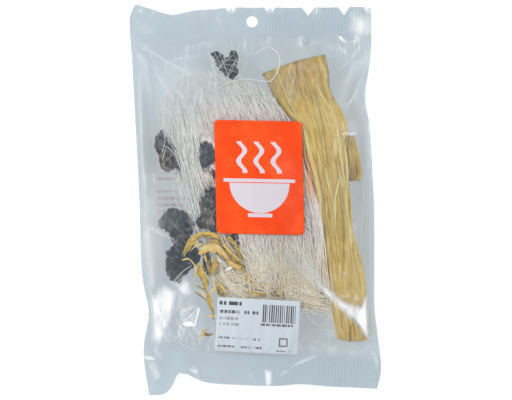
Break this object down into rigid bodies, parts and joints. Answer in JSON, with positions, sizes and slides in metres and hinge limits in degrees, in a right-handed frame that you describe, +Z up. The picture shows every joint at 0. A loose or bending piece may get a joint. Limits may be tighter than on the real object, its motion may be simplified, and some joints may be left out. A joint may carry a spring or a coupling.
{
  "type": "bag of glass noodle mix",
  "caption": "Clear sealed pillow bag of dried glass noodles with a pleated beancurd skin, black fungus and lily buds, with a hang hole, a printed panel and a paper label.",
  "frame": {"origin": "on the surface the bag lies on, under the middle of the bag's outline", "axes": "+Z up, out of the printed side; +Y along the bag towards the end with the hang hole; +X to the right of the printed side, the side where the beancurd skin lies"},
  "size_m": [0.1756, 0.2736, 0.0316],
  "materials": {
    "clear_film": "thin clear plastic film, glossy, slightly grey and creased",
    "panel_print": "orange ink on the inside of clear film, glossy",
    "panel_motif": "white ink on the inside of clear film, glossy",
    "label_paper": "smooth white label paper, satin",
    "label_ink": "black thermal print, matt",
    "back_print": "pale red ink on the back film, seen through the bag",
    "noodles": "dry glass noodles, translucent off-white",
    "beancurd": "dried beancurd skin, pleated, waxy",
    "fungus": "dried black fungus, crumpled, dull",
    "lily_buds": "dried lily buds, wrinkled, leathery"
  },
  "bodies": {
    "root": {"pack": "clear_film", "front_panel": "panel_print", "paper_label": "label_paper"}
  },
  "joints": []
}
